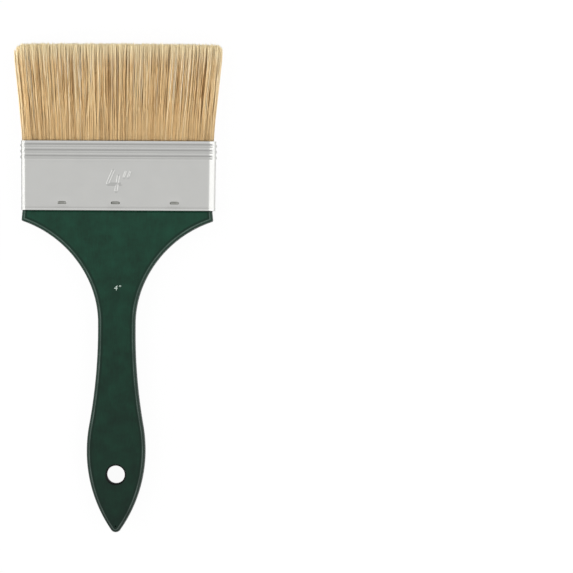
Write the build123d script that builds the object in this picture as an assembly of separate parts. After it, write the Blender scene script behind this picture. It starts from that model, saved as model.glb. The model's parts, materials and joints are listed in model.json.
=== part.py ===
from build123d import *
import os
from math import acos, cos, pi, radians, sin, sqrt, tan

# A flat paint brush that lies on its back: +Y to the bristle tips, +X across its
# width, +Z up out of its front face. The origin is below the middle of its length.

# Ferrule: a steel strip bent round into a flat sleeve
ferrule_width = 101.6  # outside, at the bristle end
ferrule_width_low = 100.7  # outside, at the handle end
ferrule_thick = 10.0  # outside
ferrule_height = 36.8
sheet = 0.4
lip = 0.25  # both rims are turned in a little
bead_steps = 4  # flats that make up each bead's round
seam_gap = 0.15  # the strip's ends meet on a narrow side
bead_count = 3
bead_pitch = 3.0
bead_first = 2.8  # rim of the bristle end to the first bead's centre
bead_width = 1.5
bead_rise = 0.5

# Handle: one flat board
handle_out = 168.4  # from the ferrule to the tip
head_depth = 14.0  # how far the head goes up into the ferrule
ear_drop = 5.0  # from the ferrule to the shoulder's corner
ear_inset = 0.25  # the shoulder's corner, inside the ferrule's outer face
shoulder_slope = 22.0  # degrees that the shoulder falls where it leaves the corner
shoulder_share = 0.41  # how the shoulder's turn is shared between its two arcs
neck_half = 9.77  # the narrowest place
neck_at = 60.0  # from the ferrule
neck_length = 4.0  # straight
grip_share = 3.14
belly_half = 15.3  # the widest place of the grip
belly_at = 126.5
tip_round = 2.75  # in plan
edge_round = 2.4
ear_round = 1.0
side_stock = 2.0  # how much wider the board is cut beside the ferrule, before it is rounded
hole_radius = 4.7
hole_at = 138.0  # from the ferrule
hole_rim = 0.6  # both rims are eased

# Bristle
bristle_out = 51.3  # from the ferrule to the tips
# How far the bristle spreads past the ferrule's mouth: on each narrow side, on each face
fan_mid_side, fan_mid_face = 2.05, 0.7
fan_wide_side, fan_wide_face = 4.4, 1.3
fan_tip_side, fan_tip_face = 4.1, 1.2
fan_mid_up = 22.0  # from the ferrule
fan_wide_down = 8.3  # from the tips
fan_round = 3.2  # how the bristle rounds off at the tips
tip_steps = 4  # flats that make up that round

# Inside the ferrule
fit_gap = 0.1  # between the sheet and what it holds
resin_height = 6.0
resin_groove = 2.0  # how deep the plug stands in the resin
plug_side = 4.85  # bristle past each end of the plug
plug_thick = 2.4
plug_height = 12.0
room_height = 24.0  # the halves of bristle close up this far above the plug

# Staples
staple_up = 3.9  # from the ferrule's lower rim
staple_spacing = 29.3
middle_staple_shift = -1.5
staple_crown = 4.2  # overall
staple_wide = 1.0  # the flat wire's width
staple_thick = 0.5
staple_legs = 3.8  # below the sheet's outer face
staple_bend = 0.6  # outside
dimple_length = 5.2
dimple_width = 1.9
dimple_depth = 0.6
leg_gap = 0.04

# Heights along the brush, and its middle plane
overall = handle_out + ferrule_height + bristle_out
tips_y = overall / 2
ferrule_top = tips_y - bristle_out
ferrule_low = ferrule_top - ferrule_height
handle_tip = ferrule_low - handle_out
head_top = ferrule_low + head_depth
resin_top = head_top + resin_height
plug_low = resin_top - resin_groove
plug_top = plug_low + plug_height
handle_thick = ferrule_thick - 2 * (sheet + fit_gap)
ear_half = ferrule_width_low / 2 - ear_inset
plug_width = ferrule_width_low - 2 * (sheet + fit_gap + plug_side)
fan_face = max(fan_mid_face, fan_wide_face, fan_tip_face)
mid_z = max(ferrule_thick / 2 + bead_rise, handle_thick / 2 + fan_face)


# Outside width of the ferrule, which widens from its lower rim to its upper rim.
def sleeve_width(y):
    share = (y - ferrule_low) / ferrule_height
    return ferrule_width_low + (ferrule_width - ferrule_width_low) * share


# A flat oval across the brush at height y.
def oval(y, width, thick):
    across = Plane(origin=(0, y, mid_z), x_dir=(1, 0, 0), z_dir=(0, 1, 0))
    return across * SlotOverall(width, thick)


# An oval at height y that follows the sleeve's outer face, this far inside it.
def inset_oval(y, inset):
    return oval(y, sleeve_width(y) - 2 * inset, ferrule_thick - 2 * inset)


# What fills the sleeve between two heights, this far inside its outer face.
def sleeve_body(low, top, inset):
    return loft([inset_oval(low, inset), inset_oval(top, inset)])


# A round bead that stands out of the sleeve, with its round made up of flats.
def bead(y):
    radius = (bead_width**2 / 4 + bead_rise**2) / (2 * bead_rise)
    limit = acos((radius - bead_rise) / radius)
    rings = []
    for step in range(bead_steps + 1):
        angle = limit * (2 * step / bead_steps - 1)
        rise = radius * cos(angle) - (radius - bead_rise)
        rings.append(inset_oval(y + radius * sin(angle), -rise))
    return loft(rings, ruled=True)


def staple_places():
    return (-staple_spacing, middle_staple_shift, staple_spacing)


# At each staple, a block with round ends between two depths under one of the ferrule's
# flat faces: side is 1 for the front and -1 for the back.
def staple_slots(side, grow, shallow, deep):
    outside = ferrule_thick / 2
    slots = []
    for x in staple_places():
        centre = (x, ferrule_low + staple_up, mid_z + side * (outside - shallow))
        face = Plane(origin=centre, x_dir=(1, 0, 0), z_dir=(0, 0, -side))
        shape = SlotOverall(dimple_length + 2 * grow, dimple_width + 2 * grow)
        slots.append(extrude(face * shape, deep - shallow))
    return slots


# The narrow holes that the staples' legs pass through.
def leg_holes(side):
    outside = ferrule_thick / 2
    depth = staple_legs + leg_gap
    holes = []
    for x in staple_places():
        for end in (-1, 1):
            leg_x = x + end * (staple_crown - staple_thick) / 2
            centre = (leg_x, ferrule_low + staple_up, mid_z + side * (outside - depth / 2))
            holes.append(Pos(*centre) * Box(staple_thick + 2 * leg_gap, staple_wide + 2 * leg_gap, depth))
    return holes


def make_ferrule():
    outer = loft([
        inset_oval(ferrule_low, lip),
        inset_oval(ferrule_low + 2 * lip, 0),
        inset_oval(ferrule_top - 2 * lip, 0),
        inset_oval(ferrule_top, lip),
    ], ruled=True)
    inner = sleeve_body(ferrule_low, ferrule_top, sheet)
    for n in range(bead_count):
        y = ferrule_top - bead_first - n * bead_pitch
        outer += bead(y)
        half_groove = bead_width / 2 - sheet
        inner += sleeve_body(y - half_groove, y + half_groove, sheet - bead_rise)
    sleeve = outer - inner
    dimple_floor = dimple_depth + sheet
    for side in (1, -1):
        for bump in staple_slots(side, sheet, sheet / 2, dimple_floor):
            sleeve += bump
        for cut in staple_slots(side, 0, -sheet, dimple_depth) + leg_holes(side):
            sleeve -= cut
    seam = Box(2 * ferrule_width, ferrule_height + 2 * lip, seam_gap)
    return sleeve - Pos(-ferrule_width, (ferrule_low + ferrule_top) / 2, mid_z) * seam


# Two arcs in one smooth line, which leaves start and reaches end along set directions.
def two_arcs(start, leaving, end, arriving, share):
    start, leaving, end, arriving = Vector(*start), Vector(*leaving), Vector(*end), Vector(*arriving)
    across = end - start
    along = share * across.dot(leaving) + across.dot(arriving)
    turn = 2 * share * (1 - leaving.dot(arriving))
    reach_end = across.dot(across) / (along + sqrt(along**2 + turn * across.dot(across)))
    reach_start = share * reach_end
    corner_start = start + leaving * reach_start
    corner_end = end - arriving * reach_end
    middle = (corner_start * reach_end + corner_end * reach_start) * (1 / (reach_start + reach_end))
    heading = (corner_end - corner_start).normalized()
    return [TangentArc(start, middle, tangent=leaving), TangentArc(middle, end, tangent=heading)]


# The right-hand side of the board in plan, from the ferrule down to the tip. Above the
# shoulder it is left wide, and the rounded sides are cut from it.
def handle_side():
    fall = radians(shoulder_slope)
    ear_y = ferrule_low - ear_drop
    wide = (ear_half + side_stock, ear_y + side_stock * tan(fall))
    neck_y = ferrule_low - neck_at
    belly_y = ferrule_low - belly_at
    down = (0, -1)
    # One arc from the grip's widest place meets the tip's arc smoothly.
    tip_centre = Vector(0, handle_tip + tip_round)
    rise = belly_y - tip_centre.Y
    end_radius = (belly_half**2 + rise**2 - tip_round**2) / (2 * (belly_half - tip_round))
    end_centre = Vector(belly_half - end_radius, belly_y)
    meeting = tip_centre + (tip_centre - end_centre).normalized() * tip_round
    return [
        Line((wide[0], ferrule_low), wide),
        Line(wide, (ear_half, ear_y)),
        *two_arcs((ear_half, ear_y), (-cos(fall), -sin(fall)), (neck_half, neck_y), down, shoulder_share),
        Line((neck_half, neck_y), (neck_half, neck_y - neck_length)),
        *two_arcs((neck_half, neck_y - neck_length), down, (belly_half, belly_y), down, grip_share),
        TangentArc((belly_half, belly_y), meeting, tangent=down),
    ]


def make_board():
    side = handle_side()
    end = side[-1] @ 1
    tip = ThreePointArc(end, (0, handle_tip), (-end.X, end.Y))
    top = Line(side[0] @ 0, (-(side[0] @ 0).X, ferrule_low))
    sides = Curve() + side
    outline = make_face(Curve() + [sides, mirror(sides, Plane.YZ), tip, top])
    board = Pos(0, 0, mid_z - handle_thick / 2) * extrude(outline, handle_thick)
    faces = board.faces().filter_by(Axis.Z)
    wide_y = (side[1] @ 0).Y
    long_edges = [e for f in faces for e in f.edges() if e.center().Y < wide_y]
    return fillet(long_edges, min(edge_round, tip_round * 0.9))


# What is cut off the board beside the ferrule, to leave narrow sides as round as its own.
def side_cuts():
    low = ferrule_low - ear_drop - handle_thick
    top_half = sleeve_width(ferrule_low) / 2 - sheet - fit_gap
    widen = (ear_half - top_half) / ear_drop
    low_half = top_half + widen * (ferrule_low - low)
    inside_thick = handle_thick + 2 * fit_gap
    rounded = loft([oval(low, 2 * low_half, inside_thick), oval(ferrule_low, 2 * top_half, inside_thick)])
    stock = Pos(0, (low + ferrule_low) / 2, mid_z) * Box(4 * ear_half, ferrule_low - low, handle_thick)
    return stock - rounded


# The corner between each rounded side and the shoulder.
def ear_edges(board):
    ear_y = ferrule_low - ear_drop
    return [
        e for e in board.edges()
        if abs(e.center().X) > ear_half - handle_thick / 2
        and abs(e.center().Y - ear_y) < handle_thick / 8
    ]


def make_handle():
    board = make_board() - side_cuts()
    board = fillet(ear_edges(board), ear_round)
    handle = board + sleeve_body(ferrule_low, head_top, sheet + fit_gap)
    hole_y = ferrule_low - hole_at
    handle -= Pos(0, hole_y, mid_z) * Cylinder(hole_radius, 2 * handle_thick)
    rims = [
        e for e in handle.edges().filter_by(GeomType.CIRCLE)
        if abs(e.radius - hole_radius) < 1e-6 and abs(e.arc_center.Y - hole_y) < 1e-6
    ]
    handle = chamfer(rims, hole_rim)
    pocket_floor = dimple_depth + sheet + fit_gap
    for side in (1, -1):
        for cut in staple_slots(side, sheet + fit_gap, 0, pocket_floor) + leg_holes(side):
            handle -= cut
    return handle


def make_staples(side):
    crown_z = mid_z + side * (ferrule_thick / 2 - dimple_depth + staple_thick)
    leg_z = mid_z + side * (ferrule_thick / 2 - staple_legs)
    half = staple_crown / 2
    across = Plane.XZ.offset(-(ferrule_low + staple_up))
    staples = []
    for x in staple_places():
        blank = Pos(x, (crown_z + leg_z) / 2) * Rectangle(staple_crown, abs(crown_z - leg_z))
        bent = fillet(blank.vertices().group_by(Axis.Y)[-1 if side > 0 else 0], staple_bend)
        inside_height = abs(crown_z - leg_z) - staple_thick
        inside_z = leg_z + side * inside_height / 2
        bent -= Pos(x, inside_z) * Rectangle(2 * (half - staple_thick), inside_height)
        staples.append(extrude(across * bent, staple_wide / 2, both=True))
    return Compound([staple.solid() for staple in staples])


# Bristle from the resin to the ferrule's rim, the fan that it spreads into, and the
# round of its tips, in steps.
def bristle_pack():
    held = sleeve_body(resin_top, ferrule_top, sheet + fit_gap)
    inset = sheet + fit_gap
    mouth_width = sleeve_width(ferrule_top) - 2 * inset
    mouth_thick = ferrule_thick - 2 * inset
    stages = [
        (ferrule_top, 0, 0),
        (ferrule_top + fan_mid_up, fan_mid_side, fan_mid_face),
        (tips_y - fan_wide_down, fan_wide_side, fan_wide_face),
    ]
    for step in range(tip_steps + 1):
        angle = pi / 2 * step / tip_steps
        rounded_off = fan_round * (1 - cos(angle))
        y = tips_y - fan_round * (1 - sin(angle))
        stages.append((y, fan_tip_side - rounded_off, fan_tip_face - rounded_off))
    fan = [oval(y, mouth_width + 2 * side, mouth_thick + 2 * face) for y, side, face in stages]
    return held + loft(fan, ruled=True)


def make_plug():
    plug = Pos(0, (plug_low + plug_top) / 2, mid_z) * Box(plug_width, plug_height, plug_thick)
    return plug


# The plug's space and the wedge of room that it leaves above itself.
def room():
    half = plug_thick / 2
    side = Plane(origin=(0, 0, mid_z), x_dir=(0, 1, 0), z_dir=(1, 0, 0))
    shape = Polygon(
        (plug_low, -half), (plug_top, -half), (plug_top + room_height, 0),
        (plug_top, half), (plug_low, half), align=None,
    )
    return extrude(side * shape, plug_width / 2, both=True)


def make_layers():
    pack = bristle_pack() - room()
    halves = []
    tall = 2 * mid_z
    for side in (1, -1):
        half_space = Pos(0, 0, mid_z + side * tall / 2) * Box(2 * ferrule_width, 2 * overall, tall)
        halves.append(pack & half_space)
    return halves


def make_resin():
    block = sleeve_body(head_top, resin_top, sheet + fit_gap)
    return block - room()


front, back = make_layers()
pieces = {
    "handle": make_handle(),
    "ferrule": make_ferrule(),
    "staples_front": make_staples(1),
    "staples_back": make_staples(-1),
    "bristle_layer_front": front,
    "bristle_layer_back": back,
    "filler_strip": make_plug(),
    "resin_set": make_resin(),
}
os.makedirs("parts", exist_ok=True)
for name, piece in pieces.items():
    export_step(piece, f"parts/{name}.step")
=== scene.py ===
import json
import math

import bmesh
import bpy
import numpy as np
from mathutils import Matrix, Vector, kdtree


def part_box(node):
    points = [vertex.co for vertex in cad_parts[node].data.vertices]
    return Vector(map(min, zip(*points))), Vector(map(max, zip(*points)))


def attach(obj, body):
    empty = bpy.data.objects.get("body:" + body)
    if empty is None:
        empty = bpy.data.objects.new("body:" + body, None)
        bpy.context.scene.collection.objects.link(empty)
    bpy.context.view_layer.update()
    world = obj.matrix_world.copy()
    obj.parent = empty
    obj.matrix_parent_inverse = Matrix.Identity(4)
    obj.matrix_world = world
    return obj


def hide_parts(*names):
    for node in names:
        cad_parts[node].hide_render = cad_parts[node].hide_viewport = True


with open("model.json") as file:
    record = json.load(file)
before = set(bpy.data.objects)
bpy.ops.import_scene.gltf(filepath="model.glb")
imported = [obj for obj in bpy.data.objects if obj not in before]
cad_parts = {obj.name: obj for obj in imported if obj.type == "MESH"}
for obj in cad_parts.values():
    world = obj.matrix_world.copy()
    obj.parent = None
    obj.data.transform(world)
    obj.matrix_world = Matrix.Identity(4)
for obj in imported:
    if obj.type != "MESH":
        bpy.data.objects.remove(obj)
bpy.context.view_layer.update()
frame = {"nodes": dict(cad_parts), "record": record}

# A flat paint brush on its back: +Y to the bristle tips, +X to the right, +Z up out of its front.
# Shapes are worked out in millimetres and turned to metres when a mesh is made.
mm = 0.001
chance = np.random.default_rng(41)


def nodeBox(node):
    low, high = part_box(node)
    return np.array(low) / mm, np.array(high) / mm


handleLow, handleHigh = nodeBox("handle")
ferruleLow, ferruleHigh = nodeBox("ferrule")
bristleHigh = nodeBox("bristle_layer_front")[1]
middleZ = (ferruleLow[2] + ferruleHigh[2]) / 2
rimLift = {"mouth": 0.2, "lower": 0.45}   # mm that the ferrule's rims lie nearer the tips than its solid's
mouthY = ferruleHigh[1] + rimLift["mouth"]   # where the bristle leaves the ferrule
lowerRimY = ferruleLow[1] + rimLift["lower"]   # where the handle leaves it
tipsY = bristleHigh[1]
hangHole = next(mount for mount in frame["record"]["mounts"] if mount["name"] == "hang_hole")


# Camera, lamps and floor: straight above, with the brush at the left of the view and lying a
# little askew. The room is darker towards the tips, where nothing lights it.
studio = {
    "viewWidth": 300.1,   # mm across the picture
    "viewShift": (88.98, 1.25),   # mm from the brush's middle to the middle of the view
    "askew": 0.31,   # degrees
    "cameraHeight": 2.0,   # m
    "filmWidth": 36,   # mm
    "paper": "#fbfbfb",
    "paperHalf": 4.0,   # m
    "floorSeen": 0.95,   # how far the floor shows as plain white to the camera
    "floorMirrored": 0.12,   # and in the ferrule
    "room": [   # how far towards +Y a direction points, from -1 to 1, and the radiance there
        (-1, 0.50), (-0.66, 0.52), (-0.45, 0.62), (-0.32, 0.71), (-0.18, 0.69), (-0.08, 0.61), (0.10, 0.61),
        (0.38, 0.47), (0.75, 0.41),
    ],
    # Name, degrees from straight up and degrees round from +X to +Y, metres away, across and upwards,
    # and radiance. The fills soften the shadows and are mirrored nowhere.
    "softboxes": [
        ("softboxRight", 70, 0, 1.3, 1.5, 1.10, 0.51),
        ("stripLeft", 79, 180, 1.4, 1.6, 0.35, 0.62),
        ("fillLeft", 78, 180, 1.4, 0.9, 0.5, 8.0),
        ("fillRight", 78, 0, 1.4, 0.9, 0.5, 3.0),
        ("fillTopRight", 50, 40, 1.4, 0.7, 0.7, 2.6),
        ("fillTopLeft", 50, 140, 1.4, 0.7, 0.7, 2.6),
        ("fillLowRight", 50, -40, 1.4, 0.7, 0.7, 2.6),
        ("fillLowLeft", 50, -140, 1.4, 0.7, 0.7, 2.6),
    ],
}


def linearColour(hexText):
    parts = [int(hexText[i:i + 2], 16) / 255 for i in (1, 3, 5)]
    return (*[p / 12.92 if p <= 0.04045 else ((p + 0.055) / 1.055) ** 2.4 for p in parts], 1)


# Adds a node. inputs gives values or links by socket name or number, settings its properties,
# and stops a colour ramp's places and colours.
def addNode(tree, kind, inputs=None, stops=None, **settings):
    node = tree.nodes.new(kind)
    for name, value in settings.items():
        setattr(node, name, value)
    for name, value in (inputs or {}).items():
        if isinstance(value, bpy.types.NodeSocket):
            tree.links.new(value, node.inputs[name])
        else:
            node.inputs[name].default_value = value
    if stops:
        ramp = node.color_ramp.elements
        for end in (0, -1):
            ramp[end].position, ramp[end].color = stops[end]
        for place, colour in stops[1:-1]:
            ramp.new(place).color = colour
    return node


def startMaterial(name):
    material = bpy.data.materials.new(name)
    material.use_nodes = True
    material.node_tree.nodes.clear()
    return material, material.node_tree


# A pattern's scale along X, Y and Z, from its size along each in millimetres.
def scaleFor(*sizes):
    return tuple(1 / (size * mm) for size in sizes)


def makeStudio():
    scene = bpy.context.scene
    lens = bpy.data.cameras.new("camera")
    lens.sensor_width = studio["filmWidth"]
    lens.lens = studio["filmWidth"] * studio["cameraHeight"] / (studio["viewWidth"] * mm)
    camera = bpy.data.objects.new("camera", lens)
    right, up = studio["viewShift"]
    camera.location = (right * mm, up * mm, studio["cameraHeight"] + ferruleHigh[2] * mm)
    camera.rotation_euler = (0, 0, math.radians(studio["askew"]))
    scene.collection.objects.link(camera)
    scene.camera = camera

    for name, fromUp, fromRight, distance, across, upwards, radiance in studio["softboxes"]:
        light = bpy.data.lights.new(name, "AREA")
        light.shape, light.size, light.size_y = "RECTANGLE", across, upwards
        light.energy = radiance * math.pi * across * upwards
        lamp = bpy.data.objects.new(name, light)
        low, turned = math.radians(fromUp), math.radians(fromRight)
        away = Vector((math.sin(low) * math.cos(turned), math.sin(low) * math.sin(turned), math.cos(low)))
        lamp.location = away * distance
        lamp.rotation_euler = away.to_track_quat("Z", "Y").to_euler()
        lamp.visible_camera = False
        lamp.visible_glossy = not name.startswith("fill")
        scene.collection.objects.link(lamp)

    # Seamless paper, matt and white, so that it reads as plain white with a faint shadow.
    paper, tree = startMaterial("seamlessPaper")
    rays = addNode(tree, "ShaderNodeLightPath")
    mirrored = addNode(tree, "ShaderNodeMath", {
        0: rays.outputs["Is Glossy Ray"], 1: rays.outputs["Is Transmission Ray"]}, operation="MAXIMUM")
    mirrored = addNode(tree, "ShaderNodeMath", {
        0: mirrored.outputs[0], 1: studio["floorMirrored"]}, operation="MULTIPLY")
    seen = addNode(tree, "ShaderNodeMath", {
        0: rays.outputs["Is Camera Ray"], 1: studio["floorSeen"]}, operation="MULTIPLY")
    share = addNode(tree, "ShaderNodeMath", {0: seen.outputs[0], 1: mirrored.outputs[0]}, operation="MAXIMUM")
    matt = addNode(tree, "ShaderNodeBsdfDiffuse", {"Color": linearColour(studio["paper"])})
    glow = addNode(tree, "ShaderNodeEmission", {"Color": (1, 1, 1, 1), "Strength": 1.0})
    mixed = addNode(tree, "ShaderNodeMixShader", {
        0: share.outputs[0], 1: matt.outputs[0], 2: glow.outputs[0]})
    addNode(tree, "ShaderNodeOutputMaterial", {"Surface": mixed.outputs[0]})
    sheet = bpy.data.meshes.new("paperFloor")
    half = studio["paperHalf"]
    corners = [(-half, -half, 0), (half, -half, 0), (half, half, 0), (-half, half, 0)]
    sheet.from_pydata(corners, [], [(0, 1, 2, 3)])
    sheet.materials.append(paper)
    floor = bpy.data.objects.new("paperFloor", sheet)
    scene.collection.objects.link(floor)

    world = bpy.data.worlds.new("room")
    world.use_nodes = True
    tree = world.node_tree
    tree.nodes.clear()
    rays = addNode(tree, "ShaderNodeLightPath")
    heading = addNode(tree, "ShaderNodeTexCoord")
    parts = addNode(tree, "ShaderNodeSeparateXYZ", {0: heading.outputs["Generated"]})
    towardsTips = addNode(tree, "ShaderNodeMapRange", {0: parts.outputs["Y"], 1: -1.0, 2: 1.0})
    walls = addNode(tree, "ShaderNodeValToRGB", {0: towardsTips.outputs[0]}, stops=[
        ((place + 1) / 2, (light, light, light, 1)) for place, light in studio["room"]])
    room = addNode(tree, "ShaderNodeBackground", {"Color": walls.outputs[0], "Strength": 1.0})
    white = addNode(tree, "ShaderNodeBackground", {"Color": (1, 1, 1, 1), "Strength": 1.0})
    either = addNode(tree, "ShaderNodeMixShader", {
        0: rays.outputs["Is Camera Ray"], 1: room.outputs[0], 2: white.outputs[0]})
    addNode(tree, "ShaderNodeOutputWorld", {"Surface": either.outputs[0]})
    scene.world = world
    scene.view_settings.view_transform = "Standard"
    print("studio: camera, floor and", len(studio["softboxes"]), "lamps")


# Faces of a grid of rows by columns. closed joins the last column to the first.
def gridFaces(rows, columns, closed=False, keep=None):
    number = np.arange(rows * columns).reshape(rows, columns)
    if closed:
        number = np.hstack([number, number[:, :1]])
    faces = np.stack([number[:-1, :-1], number[:-1, 1:], number[1:, 1:], number[1:, :-1]], axis=-1)
    return faces[keep] if keep is not None else faces.reshape(-1, 4)


def meshFrom(name, points, faceSets):
    mesh = bpy.data.meshes.new(name)
    sizes = np.concatenate([np.full(len(faces), faces.shape[1]) for faces in faceSets])
    corners = np.concatenate([faces.ravel() for faces in faceSets])
    mesh.vertices.add(len(points))
    mesh.vertices.foreach_set("co", (points * mm).astype(np.float32).ravel())
    mesh.loops.add(len(corners))
    mesh.loops.foreach_set("vertex_index", corners.astype(np.int32))
    mesh.polygons.add(len(sizes))
    mesh.polygons.foreach_set("loop_start", np.concatenate([[0], np.cumsum(sizes)[:-1]]).astype(np.int32))
    mesh.update(calc_edges=True)
    return mesh


def meshPoints(mesh):
    spots = np.zeros(len(mesh.vertices) * 3)
    mesh.vertices.foreach_get("co", spots)
    return spots.reshape(-1, 3)


# A value for each point, which the materials read by its name.
def addValues(mesh, name, values):
    mesh.attributes.new(name, "FLOAT", "POINT").data.foreach_set("value", values.astype(np.float32))


welding = {"reach": 0.003, "sliver": 0.001}   # mm


# Several grids that share their edges, welded into one closed mesh. Each comes with whether its
# columns close to a loop and which faces it keeps. Open ends are filled.
def weldGrids(name, grids, sharpAngle=40):
    points, faces, first = [], [], 0
    for grid, closed, keep in grids:
        rows, columns = grid.shape[:2]
        points.append(grid.reshape(-1, 3))
        faces.append(gridFaces(rows, columns, closed, keep) + first)
        first += rows * columns
    mesh = meshFrom(name, np.concatenate(points), [np.concatenate(faces)])
    work = bmesh.new()
    work.from_mesh(mesh)
    bmesh.ops.remove_doubles(work, verts=work.verts, dist=welding["reach"] * mm)
    bmesh.ops.dissolve_degenerate(work, edges=work.edges, dist=welding["sliver"] * mm)
    bmesh.ops.delete(work, geom=[v for v in work.verts if not v.link_faces], context="VERTS")
    bmesh.ops.holes_fill(work, edges=[e for e in work.edges if e.is_boundary])
    bmesh.ops.recalc_face_normals(work, faces=work.faces)
    work.to_mesh(mesh)
    work.free()
    mesh.polygons.foreach_set("use_smooth", np.ones(len(mesh.polygons), bool))
    mesh.set_sharp_from_angle(angle=math.radians(sharpAngle))
    return mesh


def addPiece(name, mesh, material, nodes=()):
    mesh.materials.append(material)
    piece = bpy.data.objects.new(name, mesh)
    bpy.context.scene.collection.objects.link(piece)
    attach(piece, "root")
    if nodes:
        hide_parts(*nodes)
    print("piece:", name, len(mesh.vertices), "points")


def smoothStep(value, start, end):
    share = np.clip((value - start) / (end - start), 0, 1)
    return share * share * (3 - 2 * share)


# How far points lie from a straight stroke.
def strokeDistance(x, y, startX, startY, endX, endY):
    alongX, alongY = endX - startX, endY - startY
    share = ((x - startX) * alongX + (y - startY) * alongY) / max(alongX**2 + alongY**2, 1e-9)
    share = np.clip(share, 0, 1)
    return np.hypot(x - startX - share * alongX, y - startY - share * alongY)


# Handle: one beech board, sprayed dark green. Its sides are rounded over and meet the flat face at
# a soft arris.
handleForm = {   # mm
    "earOut": 0.32,   # beyond the board's own width
    "earDrop": 5.52,   # from the ferrule to the shoulder's corner
    "earRound": 1.0,
    "shoulderSlope": 18.8,   # degrees
    "shoulderShare": 2.27,   # how the shoulder's turn is shared between its two arcs
    "neckHalf": 9.9,
    "neckAt": 59.35,   # from the ferrule
    "neckLength": 4.0,
    "gripShare": 3.7,   # and the grip's turn
    "bellyHalf": 15.47,
    "bellyAt": 125.95,
    "tipRound": 2.96,
    # Across the edge, from the middle of the side to the flat face: degrees the surface leans where
    # each arc starts, radius, and steps. The third is nearly a bevel, and the last is the arris.
    "edgeArcs": [(90, 20.0, 1), (82, 1.6, 5), (42, 3.0, 2), (28, 0.8, 5)],
    "insideRound": 3.9,   # inside the ferrule, where the narrow sides are fully round
    "insideEnds": (-0.2, 1.3),   # below the rim, where that round goes over to the arcs
    "insideFerrule": 6.0,   # how far up into the ferrule the board is drawn
    "topHalf": 49.85,   # half its width where it enters the ferrule
    "neckDown": 0.45,   # how far its face is cut back at the ferrule's rim
    "neckDownEnds": (0.05, 0.6),   # below the rim, where the face comes back up
    "holeRim": 0.9,
    "holeBlock": (3.6, 3.2),   # beyond the hole, sideways and lengthways, where rings take over
    "holeRings": (0, 0.3, 0.6, 0.85, 1),
    "holeRimSteps": 7, "boreSteps": 3,
    "flatRings": (0.5, 1.1, 1.8),   # beyond the arris
    "faceColumns": 26,
    "aboveRim": (0.6, 0.2), "belowRim": (0.12, 0.25, 0.4, 0.6, 0.9, 1.4, 2.2, 3.1, 4.0),   # points there
    "step": 0.9, "earStep": 0.18, "tipStep": 0.3, "neckSteps": 4,
}


# Points along the arc that leaves start along a heading and reaches end.
def arcPoints(start, heading, end, step):
    chord = end - start
    side = np.array([-heading[1], heading[0]])
    radius = chord @ chord / (2 * (chord @ side))
    centre = start + side * radius
    turn = 2 * math.atan2(chord @ side, chord @ heading)
    first = math.atan2(*(start - centre)[::-1])
    angles = first + np.linspace(0, turn, max(3, math.ceil(abs(radius * turn) / step) + 1))
    return centre + abs(radius) * np.stack([np.cos(angles), np.sin(angles)], axis=1)


# Two arcs in one smooth line, which leaves start and reaches end along set directions.
def twoArcs(start, leaving, end, arriving, share, step):
    across = end - start
    along = share * (across @ leaving) + across @ arriving
    turn = 2 * share * (1 - leaving @ arriving)
    reachEnd = across @ across / (along + math.sqrt(along**2 + turn * (across @ across)))
    reachStart = share * reachEnd
    cornerStart, cornerEnd = start + leaving * reachStart, end - arriving * reachEnd
    middle = (cornerStart * reachEnd + cornerEnd * reachStart) / (reachStart + reachEnd)
    heading = (cornerEnd - cornerStart) / np.linalg.norm(cornerEnd - cornerStart)
    return np.vstack([arcPoints(start, leaving, middle, step), arcPoints(middle, heading, end, step)[1:]])


# The board's right-hand side in plan, from inside the ferrule to the tip, and how many of its
# points lie on the narrow side and on the ear's round.
def handleOutline():
    form, step = handleForm, handleForm["step"]
    earHalf = handleHigh[0] + form["earOut"]
    ear = np.array([earHalf, lowerRimY - form["earDrop"]])
    top = np.array([form["topHalf"], lowerRimY])
    fall = math.radians(form["shoulderSlope"])
    down = np.array([0.0, -1.0])
    along = (ear - top) / np.linalg.norm(ear - top)
    leaving = np.array([-math.cos(fall), -math.sin(fall)])
    reach = form["earRound"] * math.tan(math.acos(along @ leaving) / 2)
    sideEnd, shoulderStart = ear - along * reach, ear + leaving * reach
    inside = np.array([form["topHalf"], lowerRimY + form["insideFerrule"]])
    above = [top + [0, up] for up in form["aboveRim"]]
    below = top + along * np.array(form["belowRim"])[:, None]
    side = np.vstack([inside, inside * 0.5 + top * 0.5, *above, top, below, sideEnd])
    earRound = arcPoints(sideEnd, along, shoulderStart, form["earStep"])[1:]
    neck = np.array([form["neckHalf"], lowerRimY - form["neckAt"]])
    grip = neck + down * form["neckLength"]
    belly = np.array([form["bellyHalf"], lowerRimY - form["bellyAt"]])
    tip = np.array([0, handleLow[1]])
    # The last long arc runs from the belly to the tip's round and meets it smoothly.
    tipCentre = np.array([0, handleLow[1] + form["tipRound"]])
    rise = belly[1] - tipCentre[1]
    endRadius = form["bellyHalf"]**2 + rise**2 - form["tipRound"]**2
    endRadius /= 2 * (form["bellyHalf"] - form["tipRound"])
    endCentre = np.array([form["bellyHalf"] - endRadius, belly[1]])
    outwards = (tipCentre - endCentre) / np.linalg.norm(tipCentre - endCentre)
    meeting = tipCentre + outwards * form["tipRound"]
    outline = np.vstack([
        side,
        earRound,
        twoArcs(shoulderStart, leaving, neck, down, form["shoulderShare"], step)[1:],
        np.linspace(neck, grip, form["neckSteps"] + 1)[1:],
        twoArcs(grip, down, belly, down, form["gripShare"], step)[1:],
        arcPoints(belly, down, meeting, step)[1:],
        arcPoints(meeting, np.array([outwards[1], -outwards[0]]), tip, form["tipStep"])[1:],
    ])
    return outline, len(side), len(earRound)


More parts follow.
